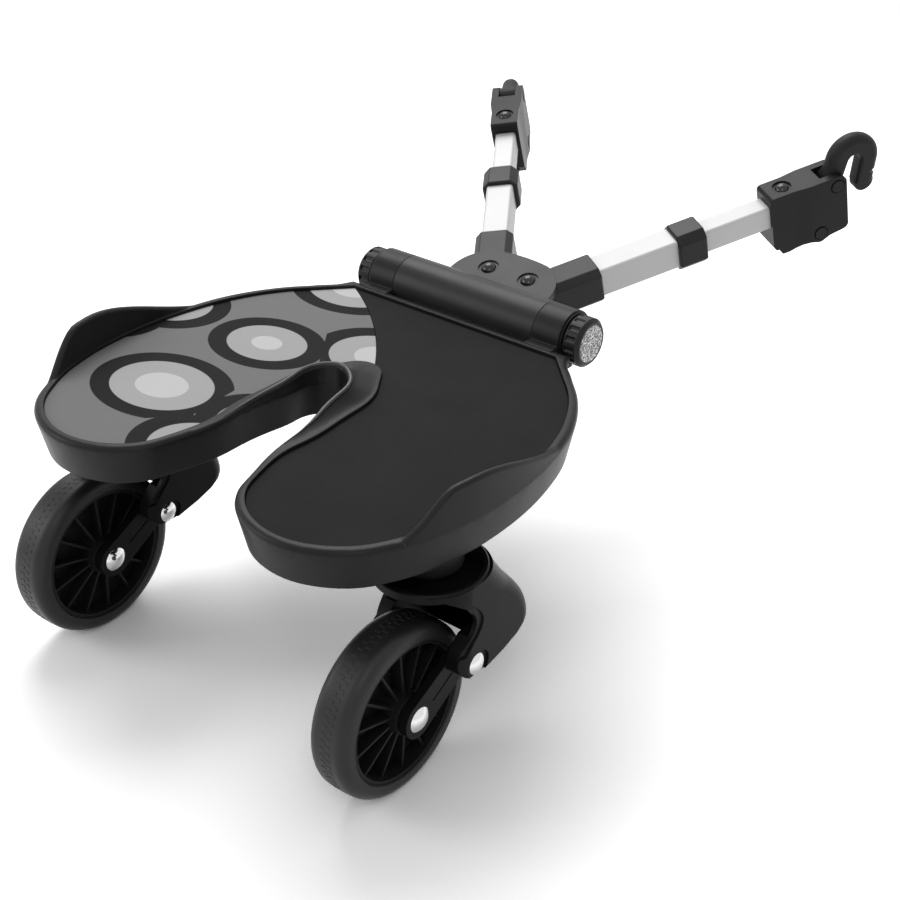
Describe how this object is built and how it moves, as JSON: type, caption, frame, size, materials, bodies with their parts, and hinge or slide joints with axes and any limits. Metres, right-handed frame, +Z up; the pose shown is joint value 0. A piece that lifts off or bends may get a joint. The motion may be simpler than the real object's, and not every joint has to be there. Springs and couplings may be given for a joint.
{
  "type": "buggy board",
  "caption": "Ride-on board for a child to stand on behind a pushchair: matted deck on sprung swivel casters, with splayed telescopic arms that end in hinged hooks.",
  "frame": {"origin": "on the floor, at the middle of the board's box seen from above", "axes": "+X to the rider's right, +Y forward along the board to the hooks, +Z up from the floor"},
  "size_m": [0.3664, 0.6282, 0.2981],
  "materials": {
    "deck_plastic": "satin moulded, fine grain",
    "mat_black": "matt, fine grain, non-slip",
    "mat_print": "matt, printed in greys",
    "arm_plastic": "satin moulded",
    "caster_plastic": "satin moulded",
    "rim_plastic": "satin moulded, ribbed",
    "tyre_rubber": "smooth shoulder, fine tread",
    "tube_aluminium": "silver anodised",
    "bright_steel": "polished domed heads",
    "black_steel": "glossy black",
    "plain_steel": "plain",
    "bush_plastic": "plain nylon",
    "reflector_silver": "silver, faceted grain"
  },
  "bodies": {
    "deck": {"deck": "deck_plastic", "mat_right": "mat_black", "mat_left": "mat_print", "hinge_rod": "plain_steel", "hinge_washers": "black_steel", "stem_bush_right": "bush_plastic", "stem_bush_left": "bush_plastic"},
    "bracket": {"arm_bracket": "arm_plastic", "arm_pivot_screw_right": "black_steel", "arm_pivot_screw_left": "black_steel"},
    "knob_right": {"knob_right": "arm_plastic", "reflector_right": "reflector_silver"},
    "arm_right": {"arm_root_right": "arm_plastic", "outer_tube_right": "tube_aluminium", "collar_right": "arm_plastic"},
    "reach_right": {"inner_tube_right": "tube_aluminium", "hook_block_right": "arm_plastic", "block_screw_right": "black_steel", "hook_pin_right": "black_steel", "latch_pin_right": "black_steel", "latch_spring_right": "plain_steel"},
    "hook_right": {"hook_right": "arm_plastic"},
    "latch_right": {"latch_right": "arm_plastic"},
    "caster_right": {"caster_hood_right": "caster_plastic", "caster_stem_right": "plain_steel", "stem_retainer_right": "plain_steel", "pivot_rivets_right": "bright_steel", "suspension_springs_right": "plain_steel"},
    "swing_right": {"swing_arms_right": "caster_plastic", "wheel_axle_right": "bright_steel"},
    "wheel_right": {"wheel_rim_right": "rim_plastic", "tyre_right": "tyre_rubber", "wheel_bushes_right": "bush_plastic"},
    "knob_left": {"knob_left": "arm_plastic", "reflector_left": "reflector_silver"},
    "arm_left": {"arm_root_left": "arm_plastic", "outer_tube_left": "tube_aluminium", "collar_left": "arm_plastic"},
    "reach_left": {"inner_tube_left": "tube_aluminium", "hook_block_left": "arm_plastic", "block_screw_left": "black_steel", "hook_pin_left": "black_steel", "latch_pin_left": "black_steel", "latch_spring_left": "plain_steel"},
    "hook_left": {"hook_left": "arm_plastic"},
    "latch_left": {"latch_left": "arm_plastic"},
    "caster_left": {"caster_hood_left": "caster_plastic", "caster_stem_left": "plain_steel", "stem_retainer_left": "plain_steel", "pivot_rivets_left": "bright_steel", "suspension_springs_left": "plain_steel"},
    "swing_left": {"swing_arms_left": "caster_plastic", "wheel_axle_left": "bright_steel"},
    "wheel_left": {"wheel_rim_left": "rim_plastic", "tyre_left": "tyre_rubber", "wheel_bushes_left": "bush_plastic"}
  },
  "joints": [
    {"name": "arm_tilt", "type": "hinge", "parent": "deck", "child": "bracket", "pos_m": [0, 0.0247, 0.1983], "axis": [1, 0, 0], "range_deg": [-30, 85]},
    {"name": "knob_turn_right", "type": "hinge", "parent": "deck", "child": "knob_right", "pos_m": [0.0914, 0.0247, 0.1983], "axis": [1, 0, 0], "range_deg": [0, 360]},
    {"name": "arm_splay_right", "type": "hinge", "parent": "bracket", "child": "arm_right", "pos_m": [0.0189, 0.07067, 0.18916], "axis": [0, -0.279, 0.9603], "range_deg": [-12, 28]},
    {"name": "arm_reach_right", "type": "slide", "parent": "arm_right", "child": "reach_right", "axis": [0.5373, 0.8099, 0.2353], "range_m": [-0.05, 0.03]},
    {"name": "hook_open_right", "type": "hinge", "parent": "reach_right", "child": "hook_right", "pos_m": [0.15833, 0.27783, 0.26059], "axis": [0.8434, -0.516, -0.1499], "range_deg": [-79, 40]},
    {"name": "latch_press_right", "type": "hinge", "parent": "reach_right", "child": "latch_right", "pos_m": [0.14989, 0.27605, 0.21926], "axis": [-0.8434, 0.516, 0.1499], "range_deg": [0, 10], "stiffness_Nm_per_rad": 0.2, "springref_deg": -8.59, "deforming": ["latch_spring_right"]},
    {"name": "caster_swivel_right", "type": "hinge", "parent": "deck", "child": "caster_right", "pos_m": [0.1428, -0.2089, 0.146], "axis": [0, 0, 1], "continuous": true},
    {"name": "suspension_right", "type": "hinge", "parent": "caster_right", "child": "swing_right", "pos_m": [0.1428, -0.2065, 0.0855], "axis": [-1, 0, 0], "range_deg": [0, 12], "stiffness_Nm_per_rad": 19, "springref_deg": -3.15},
    {"name": "wheel_spin_right", "type": "hinge", "parent": "swing_right", "child": "wheel_right", "pos_m": [0.1428, -0.2509, 0.0625], "axis": [1, 0, 0], "continuous": true},
    {"name": "knob_turn_left", "type": "hinge", "parent": "deck", "child": "knob_left", "pos_m": [-0.0914, 0.0247, 0.1983], "axis": [-1, 0, 0], "range_deg": [0, 360]},
    {"name": "arm_splay_left", "type": "hinge", "parent": "bracket", "child": "arm_left", "pos_m": [-0.0189, 0.07067, 0.18916], "axis": [0, 0.279, -0.9603], "range_deg": [-12, 28]},
    {"name": "arm_reach_left", "type": "slide", "parent": "arm_left", "child": "reach_left", "axis": [-0.5373, 0.8099, 0.2353], "range_m": [-0.05, 0.03]},
    {"name": "hook_open_left", "type": "hinge", "parent": "reach_left", "child": "hook_left", "pos_m": [-0.15833, 0.27783, 0.26059], "axis": [0.8434, 0.516, 0.1499], "range_deg": [0, 119]},
    {"name": "latch_press_left", "type": "hinge", "parent": "reach_left", "child": "latch_left", "pos_m": [-0.14989, 0.27605, 0.21926], "axis": [-0.8434, -0.516, -0.1499], "range_deg": [0, 10], "stiffness_Nm_per_rad": 0.2, "springref_deg": -8.59, "deforming": ["latch_spring_left"]},
    {"name": "caster_swivel_left", "type": "hinge", "parent": "deck", "child": "caster_left", "pos_m": [-0.1428, -0.2089, 0.146], "axis": [0, 0, 1], "continuous": true},
    {"name": "suspension_left", "type": "hinge", "parent": "caster_left", "child": "swing_left", "pos_m": [-0.1428, -0.2065, 0.0855], "axis": [-1, 0, 0], "range_deg": [0, 12], "stiffness_Nm_per_rad": 19, "springref_deg": -3.15},
    {"name": "wheel_spin_left", "type": "hinge", "parent": "swing_left", "child": "wheel_left", "pos_m": [-0.1428, -0.2509, 0.0625], "axis": [1, 0, 0], "continuous": true}
  ]
}
